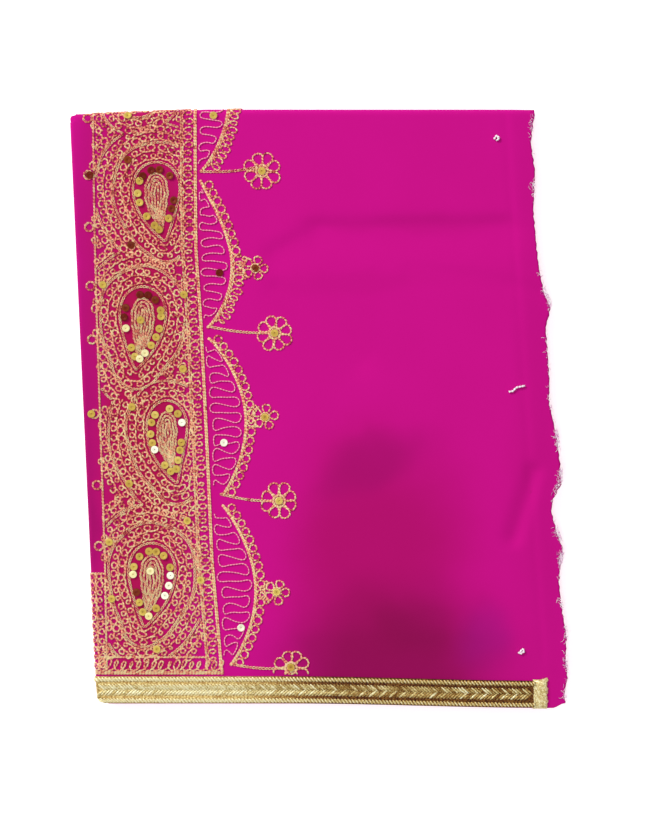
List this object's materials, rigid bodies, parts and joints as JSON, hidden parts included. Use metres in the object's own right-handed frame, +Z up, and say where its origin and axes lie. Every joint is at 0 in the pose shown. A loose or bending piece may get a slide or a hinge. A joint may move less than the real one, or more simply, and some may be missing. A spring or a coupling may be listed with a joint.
{
  "type": "folded embroidered shawl",
  "caption": "Lightweight magenta shawl folded flat, with a band of gold chain-stitch medallions, scallops and flowers, a plaited gold lace along the hem and a frayed raw edge.",
  "frame": {"origin": "middle of the folded packet's box, at the height of the surface it lies on", "axes": "+X across the packet to the raw edge, +Y up its length to the top fold, +Z up from the surface"},
  "size_m": [0.2769, 0.3333, 0.0114],
  "materials": {
    "cloth": "soft sheen crepe",
    "gold_lace": "metallic plaited braid",
    "gold_thread": "metallic chain stitch",
    "sequin": "metallised gold",
    "tack_thread": "matt cotton"
  },
  "bodies": {
    "root": {"folded_layers": "cloth", "front_panel": "cloth", "gold_lace": "gold_lace", "gold_lace_end": "gold_lace", "band_rail_left": "gold_thread", "band_rail_inner": "gold_thread", "band_rail_outer": "gold_thread", "band_hem_line": "gold_thread", "scallop_line_1": "gold_thread", "scallop_line_2": "gold_thread", "scallop_line_3": "gold_thread", "scallop_line_4": "gold_thread", "medallion_ring_1": "gold_thread", "medallion_ring_2": "gold_thread", "medallion_ring_3": "gold_thread", "medallion_ring_4": "gold_thread", "medallion_leaf_1": "gold_thread", "medallion_leaf_2": "gold_thread", "medallion_leaf_3": "gold_thread", "medallion_leaf_4": "gold_thread", "rosette_1": "gold_thread", "rosette_2": "gold_thread", "rosette_3": "gold_thread", "rosette_4": "gold_thread", "apex_flower_1": "gold_thread", "apex_flower_2": "gold_thread", "apex_flower_3": "gold_thread"}
  },
  "joints": []
}
